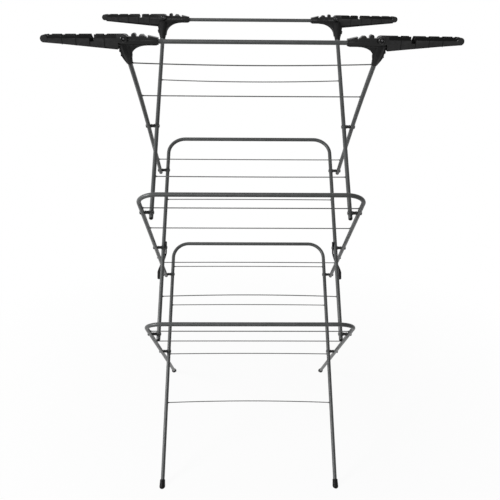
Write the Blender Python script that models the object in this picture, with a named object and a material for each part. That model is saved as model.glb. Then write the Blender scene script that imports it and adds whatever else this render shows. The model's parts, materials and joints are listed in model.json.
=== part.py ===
"""Three-tier concertina clothes airer, standing open, in metres with +Z up.

Six tube frames cross in pairs. Three wide frames lean to the front and three narrow ones to the
back, and the narrow ones run inside the wide ones. The bottom pair stands on the floor, and each
pair above is pinned to the one below. The front of the airer looks along -Y, and the origin is on
the floor under its middle.
"""
import math

import bmesh
import bpy
from mathutils import Matrix, Vector

# Clearance between pieces that touch, and the overrun of a cutter past what it cuts
GAP = 0.0003
OVERRUN = 0.004

# Linkage
LEG_ANGLE = math.radians(43.5)
PIVOT_PITCH = 0.283
FOOT_REACH = 0.435
OUTER_HALF_WIDTH = 0.300
LEG_SPACING = 0.025
INNER_HALF_WIDTH = OUTER_HALF_WIDTH - LEG_SPACING
TAIL_LENGTH = 0.022
TOP_FRONT_SPREAD = 0.0045
SPREAD_STEPS = 4

# Distance of each bar or rail from the crossing of its own frame
TIER_1_REAR_REACH = 0.4045
TIER_1_FRONT_REACH = 0.4130
TIER_2_REAR_REACH = 0.4065
TIER_2_FRONT_REACH = 0.4012
TOP_REAR_REACH = 0.4012
TOP_FRONT_REACH = 0.3793

# Tube
TUBE_RADIUS = 0.0060
RAIL_RADIUS = 0.00525
TUBE_WALL = 0.0009
BEND_RADIUS = 0.055
TUBE_SIDES = 10
CORE_SIDES = 8
BEND_STEPS = 6

# A turned piece counts as lying along a rail from this share of it on
OBLIQUE_SHARE = 0.5

# Rounding of a closed tube end, as shares of a quarter turn
DOME_SHARES = (0.2, 0.6, 1)

# Drying wires: distance below the bar of their frame, and how far each one bows towards that bar
WIRE_RADIUS = 0.0015
WIRE_SIDES = 6
WIRE_STEPS = 4
TIER_1_REAR_WIRES = ((0.0915, 0.0010), (0.2378, 0.0016), (0.4137, 0.0018), (0.5782, 0.0052))
TIER_1_FRONT_WIRES = ((0.0925, 0.0006), (0.2380, 0.0022))
TIER_2_REAR_WIRES = ((0.2342, 0.0008), (0.5703, 0.0049))
TIER_2_FRONT_WIRES = ((0.0870, 0), (0.2335, 0), (0.5510, 0.0032))
TOP_REAR_WIRES = ((0.2355, -0.0060), (0.5706, -0.0008))
TOP_FRONT_WIRES = ((0.0825, -0.0075), (0.2245, -0.0008), (0.5852, -0.0008))

# Riveted pivots, each with its spacer
PIN_RADIUS = 0.0025
PIN_SIDES = 8
HEAD_RADIUS = 0.0044
HEAD_THICKNESS = 0.0020
HEAD_CROWN_SHARE = 0.6
SPACER_RADIUS = 0.0043
COLLAR_RADIUS = 0.0050
COLLAR_LENGTH = 0.0026

# Foot caps
CAP_LENGTH = 0.034
CAP_RADIUS = 0.0092
CAP_MOUTH_RADIUS = 0.0080
CAP_SOLE_THICKNESS = 0.0030
CAP_TOE_LENGTH = 0.012
CAP_TOE_RADIUS = 0.0072
CAP_RIM_LENGTH = 0.0040
CAP_SIDES = 16

# Corner connectors: lengths along the rail are counted inwards from the leg, heights from the rail
SLEEVE_SHOULDER = 0.0755
SLEEVE_END = 0.0812
SLEEVE_OUTER_FACE = 0.0120
SLEEVE_HALF_DEPTH = 0.0094
SLEEVE_HALF_HEIGHT = 0.0112
SLEEVE_LOW_HALF_HEIGHT = 0.0094
SLEEVE_MOUTH_RADIUS = 0.0074
SLEEVE_SIDES = 16
RAIL_SOCKET_START = 0.014
LEG_SOCKET_START = 0.018
LEG_SLEEVE_LENGTH = 0.0790
LEG_SLEEVE_RADIUS = 0.0118
LEG_SLEEVE_MOUTH_RADIUS = 0.0080
WEB_HALF_THICKNESS = 0.0062
WEB_ARC_RADIUS = 0.0427
WEB_ARC_STEPS = 9
WEB_RAIL_END = 0.054
WEB_TOP_DEPTH = 0.0076
# Edges of the web below its corner and below its arc: places inwards and down the leg
WEB_OUTER_LINE = ((-0.0060, 0.0775), (-0.0079, 0.0710), (-0.0117, 0.0600), (-0.0145, 0.0470),
                  (-0.0147, 0.0360), (-0.0113, 0.0205), (-0.0105, 0))
WEB_INNER_LINE = ((0.0108, 0.0570), (0.0070, 0.0617), (0.0076, 0.0737), (0.0060, 0.0775))
BLOCK_HALF_DEPTH = 0.0088
BLOCK_TOP = 0.0112
BLOCK_BASE = 0.004
KNOB_PLACE = 0.0240
KNOB_RADIUS = 0.0054
KNOB_HEIGHT = 0.0138
BOSS_PLACE = 0.0433
BOSS_HALF_WIDTH = 0.0080
BOSS_TOP = 0.0163
GROOVE_START = 0.0533
GROOVE_FLOOR = 0.0066
RIDGE_START = 0.0575
RIDGE_TOP = 0.0139
RIDGE_END_TOP = 0.0086
GRIP_HALF_THICKNESS = 0.0054
# Round teeth on the outer edge of the web: place outwards, place down the leg, radius
GRIPS = ((0.0138, 0.0310, 0.0034), (0.0142, 0.0480, 0.0022))
RELIEF_DEPTH = 0.0098
RELIEF_FLOOR = 0.0045

# Hanger arms: lengths count outwards from the leg, heights from the rail
HINGE_PLACE = -0.001
HINGE_HEIGHT = 0.0065
BARREL_RADIUS = 0.0092
ARM_TOP = 0.0163
ARM_ROOT = 0.0126
ARM_ROOT_DEPTH = 0.0159
ARM_TIP = 0.1850
ARM_DROOP = math.radians(0.5)
ARM_TIP_DEPTH = 0.0023
ARM_TIP_RADIUS = 0.0088
ARM_TIP_HEIGHT = 0.0070
ARM_HALF_WIDTH = 0.0125
ARM_WALL = 0.0024
ARM_LEDGE_HEIGHT = 0.0073
ARM_LEDGE_WIDTH = 0.0010
ARM_POCKET_END = 0.172
ARM_RAIL_CLEARANCE = 0.0012
ARM_TIP_STEPS = 10
# Each notch: outer edge, outer and inner ends of its floor, inner edge, depth
ARM_NOTCHES = (
    (0.0484, 0.0462, 0.0430, 0.0405, 0.0030),
    (0.0775, 0.0740, 0.0680, 0.0673, 0.0091),
    (0.1150, 0.1128, 0.1092, 0.1068, 0.0030),
    (0.1474, 0.1450, 0.1415, 0.1393, 0.0030),
    (0.1778, 0.1755, 0.1725, 0.1706, 0.0028),
)
# The wide notch goes on down through the wall that faces out of the airer
HOOK_CUT_START = 0.0690
HOOK_CUT_END = 0.0782
HOOK_CUT_FLOOR = 0.0002
HINGE_PIN_RADIUS = 0.0025
HINGE_HEAD_RADIUS = 0.0042
HINGE_HEAD_THICKNESS = 0.0015

# Lock levers and their studs, by the middle crossing
LEVER_PARK_ANGLE = math.radians(19)
LEVER_HALF_WIDTH = 0.0040
LEVER_THICKNESS = 0.0045
LEVER_STUB = 0.019
LEVER_JOGGLE_START = 0.032
LEVER_JOGGLE_END = 0.057
LEVER_GRIP_START = 0.076
LEVER_GRIP_HALF_THICKNESS = 0.0055
LEVER_LENGTH = 0.113
LEVER_END_ROUND = 0.004
STUD_REACH = 0.100
STUD_PROTRUSION = 0.0060
STUD_HEAD_RADIUS = 0.0036
STUD_HEAD_THICKNESS = 0.0015

# Directions, in the plane square to the crossing pins
ACROSS = Vector((1, 0, 0))
BACKWARDS = Vector((0, 1, 0))
UPWARDS = Vector((0, 0, 1))
UP_BACK = Vector((0, math.cos(LEG_ANGLE), math.sin(LEG_ANGLE)))
UP_FRONT = Vector((0, -math.cos(LEG_ANGLE), math.sin(LEG_ANGLE)))

# Pivots, on the middle plane
CROSSING_1 = Vector((0, 0, FOOT_REACH * math.sin(LEG_ANGLE)))
REAR_PIN_1 = CROSSING_1 + PIVOT_PITCH * UP_BACK
FRONT_PIN_1 = CROSSING_1 + PIVOT_PITCH * UP_FRONT
CROSSING_2 = REAR_PIN_1 + PIVOT_PITCH * UP_FRONT
REAR_PIN_2 = CROSSING_2 + PIVOT_PITCH * UP_BACK
FRONT_PIN_2 = CROSSING_2 + PIVOT_PITCH * UP_FRONT
CROSSING_3 = REAR_PIN_2 + PIVOT_PITCH * UP_FRONT


def clear_scene():
    """Empty the scene, so that a second run builds the same model."""
    for thing in list(bpy.data.objects):
        bpy.data.objects.remove(thing, do_unlink=True)


def finish(name, colour, metallic, roughness):
    """One surface finish: a base colour, how metallic it is and how rough."""
    made = bpy.data.materials.new(name)
    made.use_nodes = True
    shader = made.node_tree.nodes["Principled BSDF"]
    shader.inputs["Base Color"].default_value = (*colour, 1)
    shader.inputs["Metallic"].default_value = metallic
    shader.inputs["Roughness"].default_value = roughness
    return made


def make_finishes():
    """The finishes of the airer: painted tube, wire, rivets and black plastic."""
    return {
        "tube": finish("hammered_grey_paint", (0.115, 0.118, 0.122), 0.65, 0.42),
        "wire": finish("grey_wire_paint", (0.16, 0.165, 0.17), 0.65, 0.45),
        "rivet": finish("zinc_plated_steel", (0.09, 0.09, 0.093), 0.85, 0.40),
        "plastic": finish("black_plastic", (0.016, 0.016, 0.017), 0.0, 0.48),
    }


def add_carrier(name, place):
    """An empty on a joint's axis, which carries the pieces that turn about it."""
    carrier = bpy.data.objects.new(name, None)
    carrier.location = place
    bpy.context.scene.collection.objects.link(carrier)
    return carrier


def add_object(name, shape, surface=None, carrier=None):
    """Turn a bmesh in world coordinates into an object, shaded smooth, under its carrier."""
    bmesh.ops.recalc_face_normals(shape, faces=shape.faces)
    if carrier is not None:
        bmesh.ops.translate(shape, vec=-carrier.location, verts=shape.verts)
    mesh = bpy.data.meshes.new(name)
    shape.to_mesh(mesh)
    shape.free()
    mesh.shade_smooth()
    mesh.set_sharp_from_angle(angle=math.radians(35))
    made = bpy.data.objects.new(name, mesh)
    bpy.context.scene.collection.objects.link(made)
    if surface is not None:
        mesh.materials.append(surface)
    if carrier is not None:
        made.parent = carrier
    return made


def add_tool(name, shape, carrier=None):
    """A hidden shape that another object joins to itself or cuts away."""
    tool = add_object(name, shape, carrier=carrier)
    tool.hide_render = True
    tool.display_type = "WIRE"
    return tool


def combine(target, tool, operation):
    """Join a tool to an object, or cut it away, with an exact Boolean."""
    step = target.modifiers.new(tool.name, "BOOLEAN")
    step.operation = operation
    step.object = tool
    step.solver = "EXACT"


def bridge(shape, rings):
    """Skin a row of equal rings of vertices and close both ends."""
    for lower, upper in zip(rings, rings[1:]):
        for i in range(len(lower)):
            j = (i + 1) % len(lower)
            shape.faces.new((lower[i], lower[j], upper[j], upper[i]))
    shape.faces.new(reversed(rings[0]))
    shape.faces.new(rings[-1])


def ring_at(shape, centre, first, second, first_radius, second_radius, sides):
    """A ring of vertices round a centre, on two directions square to each other."""
    ring = []
    for i in range(sides):
        turn = 2 * math.pi * (i + 0.5) / sides
        offset = first * (first_radius * math.cos(turn)) + second * (second_radius * math.sin(turn))
        ring.append(shape.verts.new(centre + offset))
    return ring


def add_turned(shape, start, axis, profile, sides):
    """Turn a profile of (distance along the axis, radius) pairs."""
    along_rail = abs(axis.dot(ACROSS)) > OBLIQUE_SHARE
    first = UPWARDS if along_rail else ACROSS
    second = axis.cross(first).normalized()
    rings = [ring_at(shape, start + axis * d, first, second, r, r, sides) for d, r in profile]
    bridge(shape, rings)
    return shape


def add_swept(shape, points, normal, radii, sides):
    """Sweep a round section along a flat path, with a radius for each point."""
    rings = []
    last = len(points) - 1
    for i, point in enumerate(points):
        ahead = (points[min(i + 1, last)] - points[max(i - 1, 0)]).normalized()
        side = normal.cross(ahead).normalized()
        rings.append(ring_at(shape, point, side, normal, radii[i], radii[i], sides))
    bridge(shape, rings)
    return shape


def add_prism(shape, outline, place, near, far):
    """Extrude an outline; place turns (first, second, height) into a point."""
    rings = [[shape.verts.new(place(p, q, h)) for p, q in outline] for h in (near, far)]
    bridge(shape, rings)
    bmesh.ops.recalc_face_normals(shape, faces=shape.faces)
    return shape


def arc(centre, radius, start, end, steps):
    """Points along an arc, both ends included, with angles in degrees."""
    turns = [math.radians(start + (end - start) * i / steps) for i in range(steps + 1)]
    return [(centre[0] + radius * math.cos(t), centre[1] + radius * math.sin(t)) for t in turns]


def tube_end(tip, inward, domed, radius):
    """Points and radii of one end of a tube and of its bore, from the tip inwards."""
    if not domed:
        return [(tip, radius)], [(tip - inward * OVERRUN, radius - TUBE_WALL)]
    skin = []
    for turn in (math.radians(share * 90) for share in DOME_SHARES):
        reach = radius * (1 - math.cos(turn))
        skin.append((tip + inward * reach, radius * math.sin(turn)))
    return skin, [(tip + inward * radius, radius - TUBE_WALL)]


def add_tube(name, path, normal, domed, holes, surface, carrier, radius=TUBE_RADIUS):
    """A hollow tube along a flat path, each end rounded or open, drilled across for its pins."""
    first_skin, first_core = tube_end(path[0], (path[1] - path[0]).normalized(), domed[0], radius)
    last_skin, last_core = tube_end(path[-1], (path[-2] - path[-1]).normalized(), domed[1], radius)
    middle = path[1:-1]

    def swept(first, between_radius, last, sides):
        rows = first + [(point, between_radius) for point in middle] + last[::-1]
        return add_swept(bmesh.new(), [p for p, _ in rows], normal, [r for _, r in rows], sides)

    skin = swept(first_skin, radius, last_skin, TUBE_SIDES)
    core = swept(first_core, radius - TUBE_WALL, last_core, CORE_SIDES)
    tube = add_object(name, skin, surface, carrier)
    combine(tube, add_tool(name + "_core", core, carrier), "DIFFERENCE")
    if holes:
        shape = bmesh.new()
        length = 2 * (radius + OVERRUN)
        for centre in holes:
            profile = ((0, PIN_RADIUS + GAP), (length, PIN_RADIUS + GAP))
            add_turned(shape, centre - ACROSS * (length / 2), ACROSS, profile, PIN_SIDES)
        combine(tube, add_tool(name + "_holes", shape, carrier), "DIFFERENCE")
    return tube


def add_bent_frame(name, half_width, foot, bar, domed, places, surface, carrier):
    """A tube bent to a U: up one leg, along the bar and down the other leg."""
    along = (bar - foot).normalized()
    corner_out = half_width - BEND_RADIUS
    corner_up = (bar - foot).length - BEND_RADIUS
    path = [(half_width, 0)]
    path += arc((corner_out, corner_up), BEND_RADIUS, 0, 90, BEND_STEPS)
    path += arc((-corner_out, corner_up), BEND_RADIUS, 90, 180, BEND_STEPS)
    path += [(-half_width, 0)]
    points = [foot + ACROSS * x + along * t for x, t in path]
    holes = [place + ACROSS * x for place in places for x in (-half_width, half_width)]
    add_tube(name, points, ACROSS.cross(along), (domed, domed), holes, surface, carrier)


def spread_at(share, spread):
    """How far a top leg has been sprung outwards at a share of the way to its sleeve."""
    share = min(max(share, 0), 1)
    return spread * share * share


def spread_line(crossing, bar, side, half_width, spread, high):
    """Points of a top leg from its crossing up, sprung outwards to meet its corner sleeve."""
    out = ACROSS * side
    if not spread:
        return [high + out * half_width]
    sleeve = bar + (crossing - bar).normalized() * (LEG_SLEEVE_LENGTH + LEG_SLEEVE_RADIUS)
    points = []
    for i in range(SPREAD_STEPS + 1):
        share = i / SPREAD_STEPS
        points.append(crossing.lerp(sleeve, share) + out * (half_width + spread_at(share, spread)))
    return points + [high + out * (half_width + spread)]


def add_wires(prefix, half_width, bar, along, wires, sprung, surface, carrier):
    """The drying wires of one frame, from leg to leg, each with its slight bow."""
    normal = ACROSS.cross(along)
    crossing, spread = sprung
    run = (bar - crossing).length - LEG_SLEEVE_LENGTH - LEG_SLEEVE_RADIUS
    for number, (drop, bow) in enumerate(wires, 1):
        sprung_out = spread_at(((bar - crossing).length - drop) / run, spread)
        reach = half_width + sprung_out - TUBE_RADIUS - GAP
        points = []
        for i in range(WIRE_STEPS + 1):
            share = 2 * i / WIRE_STEPS - 1
            points.append(bar + ACROSS * (reach * share) + along * (bow * (1 - share * share) - drop))
        radii = [WIRE_RADIUS] * len(points)
        shape = add_swept(bmesh.new(), points, normal, radii, WIRE_SIDES)
        add_object(f"{prefix}_wire_{number}", shape, surface, carrier)


def add_pivot_pin(name, side, place, surface, carrier, washer=0):
    """A rivet through an inner and an outer leg, with the spacer between the two."""
    outward = ACROSS * side
    inner_face = INNER_HALF_WIDTH - TUBE_RADIUS - GAP - washer
    spacer_start = INNER_HALF_WIDTH + TUBE_RADIUS + GAP
    spacer_end = OUTER_HALF_WIDTH - TUBE_RADIUS - GAP
    outer_face = OUTER_HALF_WIDTH + TUBE_RADIUS + GAP
    crown = HEAD_RADIUS * HEAD_CROWN_SHARE
    profile = (
        (inner_face - HEAD_THICKNESS, crown),
        (inner_face, HEAD_RADIUS),
        (inner_face, PIN_RADIUS),
        (spacer_start, PIN_RADIUS),
        (spacer_start, COLLAR_RADIUS),
        (spacer_start + COLLAR_LENGTH, SPACER_RADIUS),
        (spacer_end - COLLAR_LENGTH, SPACER_RADIUS),
        (spacer_end, COLLAR_RADIUS),
        (spacer_end, PIN_RADIUS),
        (outer_face, PIN_RADIUS),
        (outer_face, HEAD_RADIUS),
        (outer_face + HEAD_THICKNESS, crown),
    )
    return add_object(name, add_turned(bmesh.new(), place, outward, profile, PIN_SIDES), surface, carrier)


def add_foot_cap(name, side, half_width, foot, along, surface, carrier):
    """A cap over the end of a leg, with a blind bore and a sole cut level with the floor."""
    start = foot + ACROSS * (side * half_width)
    profile = (
        (-CAP_TOE_LENGTH, CAP_TOE_RADIUS),
        (0, CAP_RADIUS),
        (CAP_LENGTH - CAP_RIM_LENGTH, CAP_MOUTH_RADIUS),
        (CAP_LENGTH, CAP_MOUTH_RADIUS),
    )
    shape = add_turned(bmesh.new(), start, along, profile, CAP_SIDES)
    everything = shape.verts[:] + shape.edges[:] + shape.faces[:]
    cut = bmesh.ops.bisect_plane(
        shape, geom=everything, plane_co=(0, 0, 0), plane_no=(0, 0, 1), clear_inner=True
    )
    rim = [edge for edge in cut["geom_cut"] if isinstance(edge, bmesh.types.BMEdge)]
    bmesh.ops.contextual_create(shape, geom=rim)
    cap = add_object(name, shape, surface, carrier)
    bore = ((leg_standoff() - GAP, TUBE_RADIUS + GAP), (CAP_LENGTH + OVERRUN, TUBE_RADIUS + GAP))
    shape = add_turned(bmesh.new(), start, along, bore, TUBE_SIDES)
    combine(cap, add_tool(name + "_bore", shape, carrier), "DIFFERENCE")
    return cap


def leg_standoff():
    """How far a leg's square end stays from the floor, along the leg, over the cap's sole."""
    tilt = TUBE_RADIUS * math.cos(LEG_ANGLE)
    return (CAP_SOLE_THICKNESS + tilt) / math.sin(LEG_ANGLE)


def baked(master):
    """The mesh of an object with its Booleans applied."""
    graph = bpy.context.evaluated_depsgraph_get()
    return bpy.data.meshes.new_from_object(master.evaluated_get(graph))


def local(inwards, depth, height):
    """A point of a corner: inwards along the rail, out of the airer, and up."""
    return Vector((inwards, depth, height))


def make_connector_mesh():
    """The moulded corner: sleeves on rail and leg, the curved web between, and the hinge block."""
    down_leg = Vector((0, -math.cos(LEG_ANGLE), -math.sin(LEG_ANGLE)))
    square = ACROSS.cross(down_leg)

    shape = bmesh.new()
    rows = (
        (-SLEEVE_OUTER_FACE, SLEEVE_HALF_DEPTH, SLEEVE_HALF_HEIGHT),
        (WEB_RAIL_END, SLEEVE_HALF_DEPTH, SLEEVE_LOW_HALF_HEIGHT),
        (SLEEVE_SHOULDER, SLEEVE_HALF_DEPTH, SLEEVE_LOW_HALF_HEIGHT),
        (SLEEVE_END, SLEEVE_MOUTH_RADIUS, SLEEVE_MOUTH_RADIUS),
    )
    rings = [
        ring_at(shape, ACROSS * a, BACKWARDS, UPWARDS, half_depth, half_height, SLEEVE_SIDES)
        for a, half_depth, half_height in rows
    ]
    bridge(shape, rings)
    body = add_object("corner_master", shape)

    taper_start = LEG_SLEEVE_LENGTH / 2
    profile = (
        (0, LEG_SLEEVE_RADIUS),
        (taper_start, LEG_SLEEVE_RADIUS),
        (LEG_SLEEVE_LENGTH, LEG_SLEEVE_MOUTH_RADIUS),
    )
    leg_sleeve = add_turned(bmesh.new(), Vector(), down_leg, profile, SLEEVE_SIDES)

    arc_centre = (WEB_RAIL_END, WEB_TOP_DEPTH + WEB_ARC_RADIUS)
    web_line = [(WEB_RAIL_END, 0)]
    web_line += arc(arc_centre, WEB_ARC_RADIUS, 270, 180, WEB_ARC_STEPS)
    web_line += [*WEB_INNER_LINE, *WEB_OUTER_LINE]
    web = add_prism(
        bmesh.new(), web_line,
        lambda a, b, h: ACROSS * a + down_leg * b + square * h, -WEB_HALF_THICKNESS, WEB_HALF_THICKNESS,
    )

    block = add_prism(
        bmesh.new(), hinge_block_outline(),
        lambda a, z, h: local(a, h, z), -BLOCK_HALF_DEPTH, BLOCK_HALF_DEPTH,
    )
    for name, part in (("leg_sleeve", leg_sleeve), ("web", web), ("hinge_block", block)):
        combine(body, add_tool("corner_" + name, part), "UNION")
    for number, (outwards, place, radius) in enumerate(GRIPS, 1):
        start = down_leg * place - ACROSS * outwards - square * GRIP_HALF_THICKNESS
        profile = ((0, radius), (2 * GRIP_HALF_THICKNESS, radius))
        grip = add_turned(bmesh.new(), start, square, profile, PIN_SIDES)
        combine(body, add_tool(f"corner_grip_{number}", grip), "UNION")

    rail_fit, leg_fit = RAIL_RADIUS + GAP, TUBE_RADIUS + GAP
    rail_bore = ((RAIL_SOCKET_START, rail_fit), (SLEEVE_END + OVERRUN, rail_fit))
    leg_bore = ((LEG_SOCKET_START, leg_fit), (LEG_SLEEVE_LENGTH + OVERRUN, leg_fit))
    hinge_bore = ((0, HINGE_PIN_RADIUS + GAP), (2 * (BLOCK_HALF_DEPTH + OVERRUN), HINGE_PIN_RADIUS + GAP))
    hinge_start = local(-HINGE_PLACE, -BLOCK_HALF_DEPTH - OVERRUN, HINGE_HEIGHT)
    tools = (
        ("rail_bore", add_turned(bmesh.new(), Vector(), ACROSS, rail_bore, TUBE_SIDES)),
        ("leg_bore", add_turned(bmesh.new(), Vector(), down_leg, leg_bore, TUBE_SIDES)),
        ("hinge_bore", add_turned(bmesh.new(), hinge_start, BACKWARDS, hinge_bore, PIN_SIDES)),
        ("front_relief", relief(RELIEF_DEPTH, RELIEF_DEPTH + LEG_SLEEVE_RADIUS)),
        ("back_relief", relief(-RELIEF_DEPTH - LEG_SLEEVE_RADIUS, -RELIEF_DEPTH)),
    )
    for name, part in tools:
        combine(body, add_tool("corner_" + name, part), "DIFFERENCE")
    return body


def relief(near, far):
    """The flat that the walls of a folded arm slide over."""
    low, high = -RELIEF_FLOOR, BLOCK_TOP + LEG_SLEEVE_RADIUS
    start, end = -SLEEVE_OUTER_FACE - OVERRUN, SLEEVE_END + OVERRUN
    outline = ((start, low), (end, low), (end, high), (start, high))
    return add_prism(bmesh.new(), outline, lambda a, z, h: local(a, h, z), near, far)


def hinge_block_outline():
    """The top of a corner: hinge barrel, detent knob, boss and sloping ridge."""
    hinge = (-HINGE_PLACE, HINGE_HEIGHT)
    knob = (KNOB_PLACE, KNOB_HEIGHT)
    barrel_dip = math.degrees(math.asin((BLOCK_TOP - HINGE_HEIGHT) / BARREL_RADIUS))
    knob_dip = math.degrees(math.asin((BLOCK_TOP - KNOB_HEIGHT) / KNOB_RADIUS))
    line = arc(hinge, BARREL_RADIUS, 180, barrel_dip, 6)
    line += arc(knob, KNOB_RADIUS, 180 - knob_dip, knob_dip, 8)
    line += [
        (BOSS_PLACE - BOSS_HALF_WIDTH, BLOCK_TOP),
        (BOSS_PLACE - BOSS_HALF_WIDTH / 2, BOSS_TOP),
        (BOSS_PLACE + BOSS_HALF_WIDTH / 3, BOSS_TOP),
        (BOSS_PLACE + BOSS_HALF_WIDTH, BLOCK_TOP),
        (GROOVE_START, BLOCK_TOP),
        (GROOVE_START, GROOVE_FLOOR),
        (RIDGE_START, GROOVE_FLOOR),
        (RIDGE_START, RIDGE_TOP),
        (SLEEVE_END, RIDGE_END_TOP),
        (SLEEVE_END, BLOCK_BASE),
        (-HINGE_PLACE - BARREL_RADIUS, BLOCK_BASE),
    ]
    return line


def arm_outline():
    """The side of an arm, from the hinge lug along the notched top to the round tip and back."""
    lug_radius = ARM_TOP - HINGE_HEIGHT
    line = arc((-HINGE_PLACE, HINGE_HEIGHT), lug_radius, -90, 90, 8)
    for outer, floor_out, floor_in, inner, depth in ARM_NOTCHES:
        line += [
            (-inner, ARM_TOP),
            (-floor_in, ARM_TOP - depth),
            (-floor_out, ARM_TOP - depth),
            (-outer, ARM_TOP),
        ]
    line += arc((-ARM_TIP, ARM_TIP_HEIGHT), ARM_TIP_RADIUS, 80, 250, ARM_TIP_STEPS)
    line += [(-ARM_ROOT, -ARM_ROOT_DEPTH), (-ARM_ROOT, HINGE_HEIGHT - lug_radius)]
    return line


def make_arm_mesh():
    """A hanger arm: a tapering channel with notched walls, open on top, hinged at two lugs."""
    place = lambda a, z, h: local(a, h, z)
    shape = add_prism(bmesh.new(), arm_outline(), place, -ARM_HALF_WIDTH, ARM_HALF_WIDTH)
    arm = add_object("arm_master", shape)

    inside = ARM_HALF_WIDTH - ARM_WALL
    high = ARM_TOP + OVERRUN
    low = -ARM_ROOT_DEPTH - OVERRUN
    pocket_line = (
        (-ARM_POCKET_END, high),
        (-ARM_POCKET_END, ARM_WALL - ARM_TIP_DEPTH),
        (-ARM_ROOT - ARM_WALL, ARM_WALL - ARM_ROOT_DEPTH),
        (-ARM_ROOT - ARM_WALL, low),
        (ARM_TOP, low),
        (ARM_TOP, high),
    )
    pocket = add_prism(bmesh.new(), pocket_line, place, -inside, inside)
    combine(arm, add_tool("arm_pocket", pocket), "DIFFERENCE")

    seat = 2 * HINGE_HEIGHT - RAIL_RADIUS - ARM_RAIL_CLEARANCE
    slot_line = ((-ARM_TIP - ARM_TOP, seat), (0, seat), (0, high), (-ARM_TIP - ARM_TOP, high))
    slot_side = RAIL_RADIUS + ARM_RAIL_CLEARANCE
    slot = add_prism(bmesh.new(), slot_line, place, -slot_side, slot_side)
    combine(arm, add_tool("arm_rail_slot", slot), "DIFFERENCE")

    ledge = ARM_HALF_WIDTH - ARM_LEDGE_WIDTH
    ledge_start = -ARM_ROOT - ARM_WALL
    ledge_line = (
        (ledge_start, ARM_LEDGE_HEIGHT),
        (ledge_start, high),
        (-ARM_TIP, high),
        (-ARM_TIP, ARM_LEDGE_HEIGHT),
    )
    outside = ARM_HALF_WIDTH + OVERRUN
    hook_line = ((-HOOK_CUT_START, HOOK_CUT_FLOOR), (-HOOK_CUT_END, HOOK_CUT_FLOOR),
                 (-HOOK_CUT_END, ARM_LEDGE_HEIGHT + GAP), (-HOOK_CUT_START, ARM_LEDGE_HEIGHT + GAP))
    hook_cut = add_prism(bmesh.new(), hook_line, place, inside - OVERRUN, outside)
    combine(arm, add_tool("arm_hook_cut", hook_cut), "DIFFERENCE")
    for name, near, far in (("front", ledge, outside), ("back", -outside, -ledge)):
        combine(arm, add_tool(f"arm_{name}_ledge", add_prism(bmesh.new(), ledge_line, place, near, far)),
                "DIFFERENCE")

    bore = HINGE_PIN_RADIUS + GAP
    start = local(-HINGE_PLACE, -outside, HINGE_HEIGHT)
    pin_bore = add_turned(bmesh.new(), start, BACKWARDS, ((0, bore), (2 * outside, bore)), PIN_SIDES)
    combine(arm, add_tool("arm_hinge_bore", pin_bore), "DIFFERENCE")
    return arm


def drooped(mesh):
    """Tip an arm's mesh down a little about its hinge, as it rests on its root."""
    hinge = local(-HINGE_PLACE, 0, HINGE_HEIGHT)
    turn = Matrix.Rotation(-ARM_DROOP, 4, "Y")
    mesh.transform(Matrix.Translation(hinge) @ turn @ Matrix.Translation(-hinge))
    return mesh


def make_hinge_pin():
    """The pin through an arm's lugs and the corner's barrel, with a head at each end."""
    face = ARM_HALF_WIDTH + GAP
    profile = (
        (-face - HINGE_HEAD_THICKNESS, HINGE_HEAD_RADIUS * HEAD_CROWN_SHARE),
        (-face, HINGE_HEAD_RADIUS),
        (-face, HINGE_PIN_RADIUS),
        (face, HINGE_PIN_RADIUS),
        (face, HINGE_HEAD_RADIUS),
        (face + HINGE_HEAD_THICKNESS, HINGE_HEAD_RADIUS * HEAD_CROWN_SHARE),
    )
    start = local(-HINGE_PLACE, 0, HINGE_HEIGHT)
    return add_object("hinge_pin_master", add_turned(bmesh.new(), start, BACKWARDS, profile, PIN_SIDES))


def place_copy(name, mesh, corner, side, facing, surface, carrier):
    """Set a corner piece at its corner, mirrored to its side and to front or back."""
    copy = mesh.copy()
    copy.name = name
    turn = Matrix(((-side, 0, 0), (0, facing, 0), (0, 0, 1))).to_4x4()
    copy.transform(Matrix.Translation(corner - carrier.location) @ turn)
    if turn.determinant() < 0:
        copy.flip_normals()
    copy.materials.clear()
    copy.materials.append(surface)
    copy.shade_smooth()
    copy.set_sharp_from_angle(angle=math.radians(35))
    made = bpy.data.objects.new(name, copy)
    bpy.context.scene.collection.objects.link(made)
    made.parent = carrier
    return made


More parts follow.
